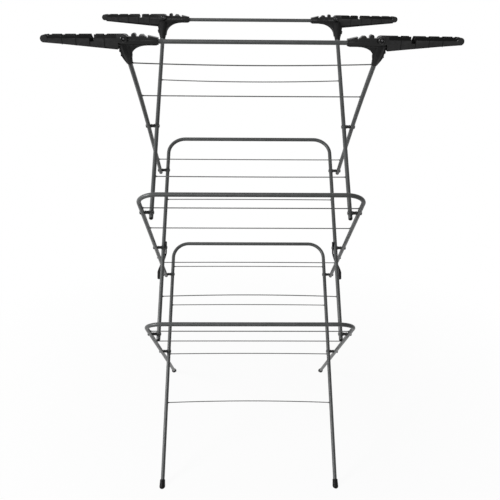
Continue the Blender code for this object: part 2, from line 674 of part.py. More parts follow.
def add_lever(name, side, surface, carrier):
    """A lock lever: flat on the inner leg at its pivot, joggled out between the two legs."""
    away = math.cos(LEVER_PARK_ANGLE), math.sin(LEVER_PARK_ANGLE)
    square_to_leg = Vector((0, math.sin(LEG_ANGLE), -math.cos(LEG_ANGLE)))
    along = -UP_BACK * away[0] + square_to_leg * away[1]
    across = ACROSS.cross(along)
    inner = INNER_HALF_WIDTH - TUBE_RADIUS - GAP - LEVER_THICKNESS / 2
    middle = (INNER_HALF_WIDTH + OUTER_HALF_WIDTH) / 2
    flat, grip = LEVER_THICKNESS / 2, LEVER_GRIP_HALF_THICKNESS
    rows = (
        (-LEVER_STUB, inner, flat, LEVER_HALF_WIDTH - LEVER_END_ROUND / 2),
        (LEVER_END_ROUND - LEVER_STUB, inner, flat, LEVER_HALF_WIDTH),
        (LEVER_JOGGLE_START, inner, flat, LEVER_HALF_WIDTH),
        (LEVER_JOGGLE_END, middle, flat, LEVER_HALF_WIDTH),
        (LEVER_GRIP_START, middle, flat, LEVER_HALF_WIDTH),
        (LEVER_GRIP_START + LEVER_END_ROUND, middle, grip, LEVER_HALF_WIDTH),
        (LEVER_LENGTH - LEVER_END_ROUND, middle, grip, LEVER_HALF_WIDTH),
        (LEVER_LENGTH, middle, grip - LEVER_END_ROUND / 2, LEVER_HALF_WIDTH - LEVER_END_ROUND / 2),
    )
    shape = bmesh.new()
    rings = []
    for reach, out, half_thick, half_wide in rows:
        centre = CROSSING_2 + ACROSS * (side * out) + along * reach
        corners = ((-1, -1), (1, -1), (1, 1), (-1, 1))
        rings.append([
            shape.verts.new(centre + ACROSS * (p * half_thick) + across * (q * half_wide))
            for p, q in corners
        ])
    bridge(shape, rings)
    lever = add_object(name, shape, surface, carrier)
    hole = bmesh.new()
    start = CROSSING_2 + ACROSS * (side * inner - LEVER_THICKNESS)
    profile = ((0, PIN_RADIUS + GAP), (2 * LEVER_THICKNESS, PIN_RADIUS + GAP))
    add_turned(hole, start, ACROSS, profile, PIN_SIDES)
    combine(lever, add_tool(name + "_hole", hole, carrier), "DIFFERENCE")
    return lever


def add_stud(name, side, surface, carrier):
    """A stud through the wide frame's leg, for the lever to catch."""
    outward = ACROSS * side
    inner_end = OUTER_HALF_WIDTH - TUBE_RADIUS - STUD_PROTRUSION
    face = OUTER_HALF_WIDTH + TUBE_RADIUS + GAP
    profile = (
        (inner_end, PIN_RADIUS),
        (face, PIN_RADIUS),
        (face, STUD_HEAD_RADIUS),
        (face + STUD_HEAD_THICKNESS, STUD_HEAD_RADIUS * HEAD_CROWN_SHARE),
    )
    place = CROSSING_2 - UP_FRONT * STUD_REACH
    return add_object(name, add_turned(bmesh.new(), place, outward, profile, PIN_SIDES), surface, carrier)


def build():
    """Build the airer from the floor up."""
    clear_scene()
    looks = make_finishes()
    tube, wire, rivet, plastic = (looks[key] for key in ("tube", "wire", "rivet", "plastic"))
    sides = (("left", -1), ("right", 1))

    base = add_carrier("base_axis", Vector())
    axis = {
        "tier_1_rear": base,
        "tier_1_front": add_carrier("lower_crossing_axis", CROSSING_1),
        "tier_2_rear": add_carrier("lower_front_pin_axis", FRONT_PIN_1),
        "tier_2_front": add_carrier("middle_crossing_axis", CROSSING_2),
        "top_rear": add_carrier("upper_front_pin_axis", FRONT_PIN_2),
        "top_front": add_carrier("upper_crossing_axis", CROSSING_3),
    }

    standoff = leg_standoff()
    tail = TAIL_LENGTH
    frames = {
        "tier_1_rear": (INNER_HALF_WIDTH, CROSSING_1, UP_BACK, TIER_1_REAR_REACH, TIER_1_REAR_WIRES),
        "tier_1_front": (OUTER_HALF_WIDTH, CROSSING_1, UP_FRONT, TIER_1_FRONT_REACH, TIER_1_FRONT_WIRES),
        "tier_2_rear": (INNER_HALF_WIDTH, CROSSING_2, UP_BACK, TIER_2_REAR_REACH, TIER_2_REAR_WIRES),
        "tier_2_front": (OUTER_HALF_WIDTH, CROSSING_2, UP_FRONT, TIER_2_FRONT_REACH, TIER_2_FRONT_WIRES),
        "top_rear": (INNER_HALF_WIDTH, CROSSING_3, UP_BACK, TOP_REAR_REACH, TOP_REAR_WIRES),
        "top_front": (OUTER_HALF_WIDTH, CROSSING_3, UP_FRONT, TOP_FRONT_REACH, TOP_FRONT_WIRES),
    }
    stud_place = CROSSING_2 - UP_FRONT * STUD_REACH
    holes = {
        "tier_1_rear": (CROSSING_1, REAR_PIN_1),
        "tier_1_front": (CROSSING_1, FRONT_PIN_1),
        "tier_2_rear": (FRONT_PIN_1, CROSSING_2, REAR_PIN_2),
        "tier_2_front": (REAR_PIN_1, CROSSING_2, FRONT_PIN_2, stud_place),
        "top_rear": (FRONT_PIN_2, CROSSING_3),
        "top_front": (REAR_PIN_2, CROSSING_3),
    }
    corners = {}
    for key, (half_width, crossing, along, reach, wires) in frames.items():
        bar = crossing + along * reach
        if key.startswith("tier_1"):
            low = crossing - along * (FOOT_REACH - standoff)
        else:
            low = crossing - along * (PIVOT_PITCH + tail)
        if key.startswith("tier"):
            domed = not key.startswith("tier_1")
            add_bent_frame(key + "_frame", half_width, low, bar, domed, holes[key], tube, axis[key])
        else:
            high = bar - along * (LEG_SOCKET_START + GAP)
            spread = TOP_FRONT_SPREAD if key == "top_front" else 0
            corners[key] = (bar, half_width + spread)
            for name, side in sides:
                out = ACROSS * (side * half_width)
                drilled = [place + out for place in holes[key]]
                leg_line = [low + out] + spread_line(crossing, bar, side, half_width, spread, high)
                normal = ACROSS.cross(along)
                add_tube(f"{key}_{name}_leg", leg_line, normal, (True, False), drilled, tube, axis[key])
            half_rail = ACROSS * (half_width + spread - RAIL_SOCKET_START - GAP)
            line = [bar - half_rail, bar + half_rail]
            add_tube(key + "_rail", line, BACKWARDS, (False, False), (), tube, axis[key], RAIL_RADIUS)
        sprung = (crossing, TOP_FRONT_SPREAD if key == "top_front" else 0)
        add_wires(key, half_width, bar, along, wires, sprung, wire, axis[key])

    for name, side in sides:
        for key in ("tier_1_rear", "tier_1_front"):
            half_width, crossing, along, _, _ = frames[key]
            foot = crossing - along * FOOT_REACH
            end = "front" if key == "tier_1_rear" else "rear"
            add_foot_cap(f"{end}_{name}_foot_cap", side, half_width, foot, along, plastic, axis[key])
        pins = (
            ("lower_crossing", CROSSING_1, "tier_1_rear", 0),
            ("lower_rear", REAR_PIN_1, "tier_1_rear", 0),
            ("lower_front", FRONT_PIN_1, "tier_1_front", 0),
            ("middle_crossing", CROSSING_2, "tier_2_rear", LEVER_THICKNESS + GAP),
            ("upper_rear", REAR_PIN_2, "tier_2_rear", 0),
            ("upper_front", FRONT_PIN_2, "tier_2_front", 0),
            ("upper_crossing", CROSSING_3, "top_rear", 0),
        )
        for pin, place, key, washer in pins:
            add_pivot_pin(f"{pin}_{name}_pin", side, place, rivet, axis[key], washer)
        lever_axis = add_carrier(f"{name}_lever_axis", CROSSING_2 + ACROSS * (side * INNER_HALF_WIDTH))
        add_lever(f"{name}_lock_lever", side, plastic, lever_axis)
        add_stud(f"{name}_lock_stud", side, rivet, axis["tier_2_front"])

    connector, arm, hinge_pin = make_connector_mesh(), make_arm_mesh(), make_hinge_pin()
    meshes = [baked(connector), drooped(baked(arm)), baked(hinge_pin)]
    for thing in list(bpy.data.objects):
        if thing.name.startswith(("corner_", "arm_", "hinge_pin_master")):
            bpy.data.objects.remove(thing, do_unlink=True)
    for key, facing in (("top_front", -1), ("top_rear", 1)):
        bar, half_width = corners[key]
        end = key[4:]
        for name, side in sides:
            corner = bar + ACROSS * (side * half_width)
            carrier = axis[key]
            hinge = corner + Vector((side * HINGE_PLACE, 0, HINGE_HEIGHT))
            arm_axis = add_carrier(f"{end}_{name}_arm_axis", hinge)
            place_copy(f"{end}_{name}_corner", meshes[0], corner, side, facing, plastic, carrier)
            place_copy(f"{end}_{name}_arm", meshes[1], corner, side, facing, plastic, arm_axis)
            place_copy(f"{end}_{name}_hinge_pin", meshes[2], corner, side, facing, rivet, carrier)


build()
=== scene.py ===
"""The looks of the three-tier clothes airer: painted tube and wire, rivets, and black mouldings."""
import json
import math

import bmesh
import bpy
from mathutils import Matrix, Vector

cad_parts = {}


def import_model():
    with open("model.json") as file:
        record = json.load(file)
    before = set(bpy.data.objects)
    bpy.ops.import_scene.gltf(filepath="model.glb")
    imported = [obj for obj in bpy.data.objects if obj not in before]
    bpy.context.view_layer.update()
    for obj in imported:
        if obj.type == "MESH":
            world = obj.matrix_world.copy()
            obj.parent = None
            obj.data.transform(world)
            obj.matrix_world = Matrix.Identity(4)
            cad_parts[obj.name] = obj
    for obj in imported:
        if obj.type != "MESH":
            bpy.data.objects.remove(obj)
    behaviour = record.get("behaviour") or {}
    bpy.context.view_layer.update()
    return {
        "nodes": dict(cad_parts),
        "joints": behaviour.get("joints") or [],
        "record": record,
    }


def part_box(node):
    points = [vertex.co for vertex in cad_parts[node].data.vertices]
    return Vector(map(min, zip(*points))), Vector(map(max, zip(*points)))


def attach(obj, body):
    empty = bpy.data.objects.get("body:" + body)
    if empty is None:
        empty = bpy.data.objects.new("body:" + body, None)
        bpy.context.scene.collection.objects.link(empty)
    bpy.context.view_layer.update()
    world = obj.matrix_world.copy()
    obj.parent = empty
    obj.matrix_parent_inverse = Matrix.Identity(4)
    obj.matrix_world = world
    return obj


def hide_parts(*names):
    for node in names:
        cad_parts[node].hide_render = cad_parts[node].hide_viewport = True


# The photograph's camera, found from the airer's bars, pins, feet and wires
FOCAL_PX, FRAME_PX = 620.5, 500
SENSOR_MM = 36
CAMERA_PLACE = (-0.0263, -1.8181, 1.4806)
CAMERA_PITCH, CAMERA_YAW, CAMERA_ROLL = map(math.radians, (23.74, 0.872, 0.503))

# The studio: the floor's paper, where it fades to white and from what share, the light of the
# surround, and the lamps, each with its name, place, size and power
FLOOR_SIZE, FLOOR_GREY, FLOOR_ROUGHNESS = 40, 0.6, 0.9
FLOOR_FADE, FLOOR_GLOW = (0.5, 1.5), (0.95, 1.0)
WORLD_LEVEL = 0.05
LAMPS_AIM = Vector((0, 0, 0.75))
LAMPS = (
    ("key", (-3.0, -1.2, 2.1), 1.2, 150),
    ("front", (-0.5, -2.6, 3.0), 1.2, 30),
    ("fill", (2.8, -2.4, 1.6), 1.6, 2),
)

# Grey enamels: name, darkest and lightest colour, roughness, orange peel cells to the metre
TUBE_ENAMEL = ("grey_tube_enamel", (0.052, 0.055, 0.055), (0.070, 0.073, 0.073), 0.34, 620)
WIRE_ENAMEL = ("grey_wire_enamel", (0.066, 0.069, 0.069), (0.104, 0.107, 0.107), 0.40, 1100)
ENAMEL_SPECULAR = 0.25
RIVET_STEEL = ("dark_rivet_steel", (0.05, 0.05, 0.052), (0.12, 0.12, 0.125))
# Black mouldings: name, darkest and lightest colour, roughness, specular level, grains to the metre
MOULDINGS = {
    "plastic": ("black_plastic", (0.006, 0.006, 0.0061), (0.011, 0.011, 0.0112), 0.30, 0.22, 2600),
    "arm": ("black_plastic_arm", (0.0075, 0.0075, 0.0077), (0.0145, 0.0145, 0.0148), 0.30, 0.23, 2600),
    "matt": ("black_plastic_matt", (0.007, 0.007, 0.0071), (0.012, 0.012, 0.0122), 0.60, 0.10, 3400),
    "gloss": ("black_plastic_gloss", (0.003, 0.003, 0.0031), (0.007, 0.007, 0.0072), 0.26, 0.24, 1800),
    # The rubber's darkest black also stands as painted shade on the arms' recessed bands, channels, ribs and
    # lower edges
    "rubber_and_shade": ("black_rubber_and_painted_shade", (0.0014, 0.0014, 0.0015), (0.0038, 0.0038, 0.0039), 0.38, 0.10, 3000),
}
# Heights of the surface textures, in metres
PEEL_HEIGHT, NIB_HEIGHT, GRAIN_HEIGHT, SCUFF_HEIGHT = 0.00005, 0.00004, 0.00006, 0.00005

# Sizes shared with the solids, in metres
LEG_ANGLE = math.radians(43.5)
PIVOT_PITCH, TAIL_LENGTH = 0.283, 0.022
TUBE_RADIUS, RAIL_RADIUS, BEND_RADIUS = 0.0060, 0.00525, 0.055
TOP_FRONT_SPREAD, LEG_SLEEVE_LENGTH, LEG_SLEEVE_RADIUS = 0.0045, 0.079, 0.0118
LEG_SOCKET_START = 0.018
WIRE_RADIUS = 0.0015
GAP = 0.0003
PIN_RADIUS, HEAD_RADIUS, HEAD_THICKNESS = 0.0025, 0.0044, 0.0020
SPACER_RADIUS, COLLAR_RADIUS, COLLAR_LENGTH = 0.0046, 0.0056, 0.0034
LEVER_PARK_ANGLE = math.radians(19)
LEVER_STUB, LEVER_THICKNESS, LEVER_HALF_WIDTH = 0.0195, 0.0045, 0.0040
HINGE_PLACE, HINGE_HEIGHT = -0.001, 0.0065
ARM_ROOT, ARM_ROOT_DEPTH, ARM_DROOP = 0.0126, 0.0159, math.radians(0.5)
ARM_TIP, ARM_TIP_DEPTH, ARM_TIP_RADIUS, ARM_TIP_HEIGHT = 0.1850, 0.0023, 0.0088, 0.0070
ARM_HALF_WIDTH, ARM_WALL, ARM_LEDGE_HEIGHT, ARM_LEDGE_WIDTH = 0.0125, 0.0024, 0.0073, 0.0010

# Sizes of what only the scene shows, in metres, with shares of the sizes that they follow
PLUG_LENGTH, PLUG_LIP = 0.0040, 0.0004
WELD_RADIUS, WELD_LENGTH = 0.0027, 0.0046
WELD_WAIST_SHARE, WELD_FOOT_SHARE = 0.86, 1.25
HEAD_EDGE_SHARE, CROWN_SHARE = 0.25, 1 / 30
COLLAR_EDGE_SHARE = 0.94
STEEL_BEVEL, PLASTIC_BEVEL, MERGE_DISTANCE = 0.0003, 0.0005, 0.00002

# A cup washer's section: height as a share of the cup's, then a radius and the share taken of it
CUP_RADIUS, CUP_HEIGHT = 0.0062, 0.0021
CUP_SHARES = (
    (-1.2, CUP_RADIUS, 0.86), (-0.4, CUP_RADIUS, 1), (0, CUP_RADIUS, 0.9), (0.45, HEAD_RADIUS, 1.12),
    (0.5, HEAD_RADIUS, 0.9), (0, PIN_RADIUS, 1.1), (-1.2, PIN_RADIUS, 1.1),
)

# A foot cap, and its rounded mouth: distance back from its end, and share of the mouth's radius
CAP_LENGTH, CAP_RADIUS, CAP_MOUTH_RADIUS, CAP_RIM_LENGTH = 0.021, 0.0092, 0.0081, 0.0034
CAP_TOE_LENGTH, CAP_TOE_RADIUS, CAP_HEEL_SHARE = 0.012, 0.0072, 0.95
CAP_RINGS, CAP_RING_DEPTH, CAP_RING_START_SHARE = 3, 0.00022, 0.6
CAP_LIP = ((0.0012, 1), (0.0004, 0.96), (0, 0.88))

# An arm's ribs, its deeper inner wall, and the discs at its tip
RIB_PLACES = (0.0445, 0.0790, 0.1110, 0.1433)
CROSS_RIB_PLACES = (0.0300, 0.0580, 0.0940, 0.1270, 0.1580)
RIB_HALF_WIDTH, RIB_HEIGHT, SKIRT_DROP = 0.0007, 0.0004, 0.0044
BEDDING_SHARE, SKIRT_WALL_SHARE, CHANNEL_WALL_SHARE, TIP_DISC_SHARE = 0.8, 0.7, 0.6, 0.93
# A hinge lug's raised ring: height over the arm's side and radius, then the share of its height
LUG_RING = (
    (-0.0008, 0.0087), (0.0004, 0.0087), (0.0011, 0.0085), (0.0017, 0.0081), (0.0023, 0.0075),
    (0.0028, 0.0067), (0.0031, 0.0057), (0.0031, 0.0050), (0.0027, 0.0045), (0.0014, 0.0043),
    (-0.0008, 0.0043),
)
LUG_RING_SHARES = (("outward", 1, 1.35), ("inward", -1, 1))

# A lever's bend and grip. Its upper end is given by distance and by shares of thickness and width.
# A high power squares its section, and a power of two makes it round.
LEVER_BEND, LEVER_BEND_STEPS, LEVER_EASE_SHARE = 0.018, 14, 0.3
LEVER_END = ((0, 0.5, 0.72), (0.0004, 0.75, 0.84), (0.0012, 0.95, 0.95), (0.0026, 1, 1))
GRIP_START, GRIP_END, GRIP_HALF_THICK, GRIP_STEPS = 0.078, 0.1015, 0.0058, 6
GRIP_ROUND_SHARE, GRIP_TIP_SHARE = 0.7, 0.1
SHANK_POWER, GRIP_POWER = 5.0, 2.4

# Fineness of the shown surfaces
TUBE_SIDES, BEND_STEPS, SPREAD_STEPS = 28, 20, 16
DOME_STEPS, DOME_START_SHARE = 7, 0.4
WIRE_SIDES, WIRE_STEPS = 12, 16
TURNED_SIDES, HEAD_STEPS = 36, 6

ACROSS, BACKWARDS, UPWARDS = Vector((1, 0, 0)), Vector((0, 1, 0)), Vector((0, 0, 1))
UP_BACK = Vector((0, math.cos(LEG_ANGLE), math.sin(LEG_ANGLE)))
UP_FRONT = Vector((0, -math.cos(LEG_ANGLE), math.sin(LEG_ANGLE)))


# Materials

def add_node(tree, kind, place=(0, 0), **values):
    """Add a shader node and set its plain properties."""
    made = tree.nodes.new(kind)
    made.location = place
    for key, value in values.items():
        setattr(made, key, value)
    return made


def start_material(name, colour, metallic, roughness):
    """A Principled material with object coordinates ready for its textures."""
    made = bpy.data.materials.new(name)
    made.use_nodes = True
    tree = made.node_tree
    shader = tree.nodes["Principled BSDF"]
    shader.inputs["Base Color"].default_value = (*colour, 1)
    shader.inputs["Metallic"].default_value = metallic
    shader.inputs["Roughness"].default_value = roughness
    coordinates = add_node(tree, "ShaderNodeTexCoord", (-1100, 0))
    return made, tree, shader, coordinates.outputs["Object"]


def texture(tree, kind, source, scale, **values):
    """A procedural texture on object coordinates, whose scale is in cells to the metre."""
    made = add_node(tree, kind, (-850, 0))
    for key, value in values.items():
        if key in made.inputs:
            made.inputs[key].default_value = value
        else:
            setattr(made, key, value)
    made.inputs["Scale"].default_value = scale
    tree.links.new(source, made.inputs["Vector"])
    return made


def ramp(tree, source, low, high, start, end):
    """Map a texture value onto two colours between two places."""
    made = add_node(tree, "ShaderNodeValToRGB", (-500, 0))
    first, second = made.color_ramp.elements
    first.position, second.position = start, end
    first.color, second.color = (*low, 1), (*high, 1)
    tree.links.new(source, made.inputs["Fac"])
    return made.outputs["Color"]


def spread(tree, source, low, high):
    """Map a texture value from 0..1 onto low..high."""
    made = add_node(tree, "ShaderNodeMapRange", (-500, -300))
    made.inputs["To Min"].default_value = low
    made.inputs["To Max"].default_value = high
    tree.links.new(source, made.inputs["Value"])
    return made.outputs["Result"]


def vary(tree, shader, source, colours, places, levels):
    """Let one texture vary a shader's colour, between two places, and its roughness."""
    tree.links.new(ramp(tree, source, *colours, *places), shader.inputs["Base Color"])
    tree.links.new(spread(tree, source, *levels), shader.inputs["Roughness"])


def bump(tree, shader, height, distance, strength):
    """Raise the surface by a texture, on top of what raises it already."""
    made = add_node(tree, "ShaderNodeBump", (-250, -500))
    made.inputs["Distance"].default_value = distance
    made.inputs["Strength"].default_value = strength
    tree.links.new(height, made.inputs["Height"])
    if shader.inputs["Normal"].is_linked:
        tree.links.new(shader.inputs["Normal"].links[0].from_socket, made.inputs["Normal"])
    tree.links.new(made.outputs["Normal"], shader.inputs["Normal"])


def satin_enamel(name, dark, light, roughness, cells):
    """Stoved grey enamel: a faint orange peel, soft clouding in the coat and sparse dust nibs."""
    made, tree, shader, place = start_material(name, light, 0.0, roughness)
    shader.inputs["Specular IOR Level"].default_value = ENAMEL_SPECULAR
    peel = texture(tree, "ShaderNodeTexNoise", place, cells, Detail=2.0, Roughness=0.4)
    cloud = texture(tree, "ShaderNodeTexNoise", place, cells / 18, Detail=4.0, Roughness=0.6)
    nibs = texture(tree, "ShaderNodeTexVoronoi", place, cells / 2, feature="F1", Randomness=1.0)
    levels = (roughness - 0.07, roughness + 0.09)
    vary(tree, shader, cloud.outputs["Fac"], (dark, light), (0.34, 0.68), levels)
    specks = add_node(tree, "ShaderNodeMapRange", (-500, -450))
    specks.inputs["From Max"].default_value = 0.16
    specks.inputs["To Min"].default_value, specks.inputs["To Max"].default_value = 1.0, 0.0
    tree.links.new(nibs.outputs["Distance"], specks.inputs["Value"])
    bump(tree, shader, peel.outputs["Fac"], PEEL_HEIGHT, 0.6)
    bump(tree, shader, specks.outputs["Result"], NIB_HEIGHT, 0.5)
    return made


def moulded_plastic(name, dark, light, roughness, specular, grain):
    """Black moulded plastic with a fine spark-eroded grain and faint flow marks."""
    made, tree, shader, place = start_material(name, light, 0.0, roughness)
    shader.inputs["Specular IOR Level"].default_value = specular
    grains = texture(tree, "ShaderNodeTexNoise", place, grain, Detail=3.0, Roughness=0.6)
    flow = texture(tree, "ShaderNodeTexNoise", place, grain / 30, Detail=5.0, Distortion=0.6)
    levels = (roughness - 0.10, roughness + 0.10)
    vary(tree, shader, flow.outputs["Fac"], (dark, light), (0.35, 0.7), levels)
    bump(tree, shader, grains.outputs["Fac"], GRAIN_HEIGHT, 0.6)
    return made


def rivet_steel(name, dark, light):
    """Dull dark steel with slight scuffs."""
    made, tree, shader, place = start_material(name, light, 0.9, 0.38)
    scuffs = texture(tree, "ShaderNodeTexNoise", place, 700, Detail=6.0, Roughness=0.7)
    vary(tree, shader, scuffs.outputs["Fac"], (dark, light), (0.35, 0.65), (0.28, 0.5))
    bump(tree, shader, scuffs.outputs["Fac"], SCUFF_HEIGHT, 0.4)
    return made


# Shapes

def ring_at(shape, centre, first, second, radius, sides):
    """A ring of vertices round a centre."""
    ring = []
    for i in range(sides):
        turn = 2 * math.pi * (i + 0.5) / sides
        ring.append(shape.verts.new(centre + (first * math.cos(turn) + second * math.sin(turn)) * radius))
    return ring


def skin(shape, rings):
    """Join each of a row of equal rings to the next."""
    for lower, upper in zip(rings, rings[1:]):
        for i in range(len(lower)):
            j = (i + 1) % len(lower)
            shape.faces.new((lower[i], lower[j], upper[j], upper[i]))


def bridge(shape, rings):
    """Skin a row of equal rings and close both ends."""
    skin(shape, rings)
    shape.faces.new(reversed(rings[0]))
    shape.faces.new(rings[-1])


def turned_rings(shape, start, axis, profile, sides):
    """The rings of a profile of (distance along the axis, radius) pairs."""
    first = UPWARDS if abs(axis.x) > abs(axis.z) else ACROSS
    second = axis.cross(first).normalized()
    first = second.cross(axis).normalized()
    return [ring_at(shape, start + axis * d, first, second, r, sides) for d, r in profile]


def add_turned(shape, start, axis, profile, sides=TURNED_SIDES):
    """Turn a profile into a closed shape."""
    bridge(shape, turned_rings(shape, start, axis, profile, sides))
    return shape


def add_ring(shape, start, axis, profile, sides=TURNED_SIDES):
    """Turn a closed profile into a ring, so that it is open through its middle."""
    rings = turned_rings(shape, start, axis, profile, sides)
    skin(shape, rings + rings[:1])
    return shape


def rectangle(first, last, low, high):
    """The corners of a rectangle, in order round it."""
    return (first, low), (last, low), (last, high), (first, high)


def add_slab(shape, corners, thickness):
    """A thin plate: a flat outline of points and its copy moved by a vector."""
    front = [shape.verts.new(point) for point in corners]
    back = [shape.verts.new(point + thickness) for point in corners]
    shape.faces.new(front)
    shape.faces.new(reversed(back))
    for i in range(len(front)):
        j = (i + 1) % len(front)
        shape.faces.new((front[j], front[i], back[i], back[j]))
    return shape


def add_swept(shape, points, normal, radii, sides):
    """Sweep a round section along a flat path."""
    rings, last = [], len(points) - 1
    for i, point in enumerate(points):
        ahead = (points[min(i + 1, last)] - points[max(i - 1, 0)]).normalized()
        rings.append(ring_at(shape, point, normal.cross(ahead).normalized(), normal, radii[i], sides))
    bridge(shape, rings)
    return shape


def arc(centre, radius, start, end, steps):
    """Points along an arc, both ends included, with angles in degrees."""
    turns = [math.radians(start + (end - start) * i / steps) for i in range(steps + 1)]
    return [(centre[0] + radius * math.cos(t), centre[1] + radius * math.sin(t)) for t in turns]


def dome_rows(radius):
    """Rows of a round end: distance from its tip, and radius. The first ring is just off the tip."""
    steps = [(i + DOME_START_SHARE) / (DOME_STEPS + DOME_START_SHARE) for i in range(DOME_STEPS + 1)]
    return [(radius * (1 - math.cos(math.pi / 2 * s)), radius * math.sin(math.pi / 2 * s)) for s in steps]


def make_object(name, shape):
    """Turn a bmesh into an object of the scene."""
    mesh = bpy.data.meshes.new(name)
    shape.to_mesh(mesh)
    shape.free()
    made = bpy.data.objects.new(name, mesh)
    bpy.context.scene.collection.objects.link(made)
    return made


def show(name, shape, material, body, sharp, nodes=()):
    """Turn a bmesh into a shown piece on a body, in place of the named solids."""
    bmesh.ops.recalc_face_normals(shape, faces=shape.faces)
    made = make_object(name, shape)
    made.data.shade_smooth()
    made.data.set_sharp_from_angle(angle=math.radians(sharp))
    made.data.materials.append(material)
    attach(made, body)
    if nodes:
        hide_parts(*nodes)
    return made


def cut_away(made, shape):
    """Take a shape out of a shown piece, and leave plain geometry."""
    bmesh.ops.recalc_face_normals(shape, faces=shape.faces)
    cutter = make_object("cutter", shape)
    cut = made.modifiers.new("cut", "BOOLEAN")
    cut.object, cut.operation, cut.solver = cutter, "DIFFERENCE", "EXACT"
    graph = bpy.context.evaluated_depsgraph_get()
    final = bpy.data.meshes.new_from_object(made.evaluated_get(graph))
    made.modifiers.remove(cut)
    made.data = final
    bpy.data.objects.remove(cutter)


def dress_solid(name, material, bevel):
    """Carry a CAD solid over with rounded edges and its own finish."""
    solid = frame["nodes"][name]
    solid.data.materials.clear()
    solid.data.materials.append(material)
    solid.data.shade_smooth()
    weld = solid.modifiers.new("weld", "WELD")
    weld.merge_threshold = MERGE_DISTANCE
    rounded = solid.modifiers.new("rounded_edges", "BEVEL")
    rounded.width, rounded.segments, rounded.limit_method = bevel, 2, "ANGLE"
    rounded.angle_limit = math.radians(35)
    rounded.harden_normals = False
    solid.data.set_sharp_from_angle(angle=math.radians(50))


# What the frame says of the solids

def body_of(node):
    """The moving body that carries a solid."""
    return next(body for body, members in bodies_of.items() if node in members)


def side_of(node):
    """1 for a solid on the right, and -1 for one on the left."""
    return 1 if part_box(node)[0].x > 0 else -1


def middle_point(node, low, high, fallback=None):
    """The middle of the box round a solid's vertices whose X lies between two values."""
    picked = [v.co for v in frame["nodes"][node].data.vertices if low <= v.co.x <= high]
    if not picked:
        return fallback
    return (Vector(map(min, zip(*picked))) + Vector(map(max, zip(*picked)))) / 2


# Tubes and wires

def add_tube(name, path, normal, domed, body, radius=TUBE_RADIUS):
    """A painted tube in place of its solid, with each end rounded or flat."""
    ends = []
    for tip, following, closed in ((path[0], path[1], domed[0]), (path[-1], path[-2], domed[1])):
        inward = (following - tip).normalized()
        rows = dome_rows(radius) if closed else [(0, radius)]
        ends.append([(tip + inward * d, r) for d, r in rows])
    points, radii = zip(*ends[0], *((point, radius) for point in path[1:-1]), *reversed(ends[1]))
    shape = add_swept(bmesh.new(), points, normal, radii, TUBE_SIDES)
    show(name + "_painted", shape, looks["tube"], body, 50, (name,))


def add_plug(name, tip, inward, body):
    """A black button with a slight lip, pressed over a tube's round lower end."""
    outer_radius = TUBE_RADIUS + PLUG_LIP
    rim_radius = math.sqrt(outer_radius ** 2 - (TUBE_RADIUS - PLUG_LENGTH) ** 2)
    rows = [(d - PLUG_LIP, r) for d, r in dome_rows(outer_radius) if d - PLUG_LIP < PLUG_LENGTH]
    rows += [(PLUG_LENGTH, rim_radius), (PLUG_LENGTH + PLUG_LIP, rim_radius - 2 * PLUG_LIP)]
    show(name, add_turned(bmesh.new(), tip, inward, rows), looks["rubber_and_shade"], body, 40)


def add_tier_frame(name, lean, body):
    """The bent tube of a tier, its bar found from the solid, with buttons on tails that have no feet."""
    low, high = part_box(name)
    half_width = high.x - TUBE_RADIUS
    flat = half_width - BEND_RADIUS + GAP
    bar = middle_point(name, -flat, flat)
    has_feet = name.startswith("tier_1")
    if has_feet:
        reach = (bar.z - low.z) / math.sin(LEG_ANGLE) - TUBE_RADIUS / math.tan(LEG_ANGLE)
    else:
        reach = (bar - middle_crossing).length + PIVOT_PITCH + TAIL_LENGTH
    path = [(half_width, 0)]
    path += arc((half_width - BEND_RADIUS, reach - BEND_RADIUS), BEND_RADIUS, 0, 90, BEND_STEPS)
    path += arc((BEND_RADIUS - half_width, reach - BEND_RADIUS), BEND_RADIUS, 90, 180, BEND_STEPS)
    path += [(-half_width, 0)]
    foot = bar - lean * reach
    points = [foot + ACROSS * x + lean * t for x, t in path]
    add_tube(name, points, ACROSS.cross(lean), (not has_feet, not has_feet), body)
    if not has_feet:
        for side, tip in (("right", points[0]), ("left", points[-1])):
            add_plug(f"{name}_{side}_plug", tip, lean, body)


def add_leg(name, lean, body):
    """A leg of the top tier with a button on its tail. The front ones are sprung outwards."""
    side = side_of(name)
    row, half_width, spring = "front", outer_half, TOP_FRONT_SPREAD
    if "_rear" in name:
        row, half_width, spring = "rear", inner_half, 0
    out = ACROSS * side * half_width
    rail = middle_point(f"top_{row}_rail", -1, 1)
    sleeve = rail - lean * (LEG_SLEEVE_LENGTH + LEG_SLEEVE_RADIUS)
    path = [upper_crossing - lean * (PIVOT_PITCH + TAIL_LENGTH) + out]
    for share in (i / SPREAD_STEPS for i in range(SPREAD_STEPS + 1)):
        sprung = spring * share * share
        path.append(upper_crossing.lerp(sleeve, share) + out + ACROSS * (side * sprung))
    path.append(rail - lean * (LEG_SOCKET_START + GAP) + out + ACROSS * (side * spring))
    add_tube(name, path, ACROSS.cross(lean), (True, False), body)
    add_plug(name + "_plug", path[0], lean, body)


def add_rail(name, body):
    """A straight top rail, from corner to corner."""
    low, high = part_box(name)
    rail = middle_point(name, -1, 1)
    path = [Vector((x, rail.y, rail.z)) for x in (low.x, high.x)]
    add_tube(name, path, BACKWARDS, (False, False), body, RAIL_RADIUS)


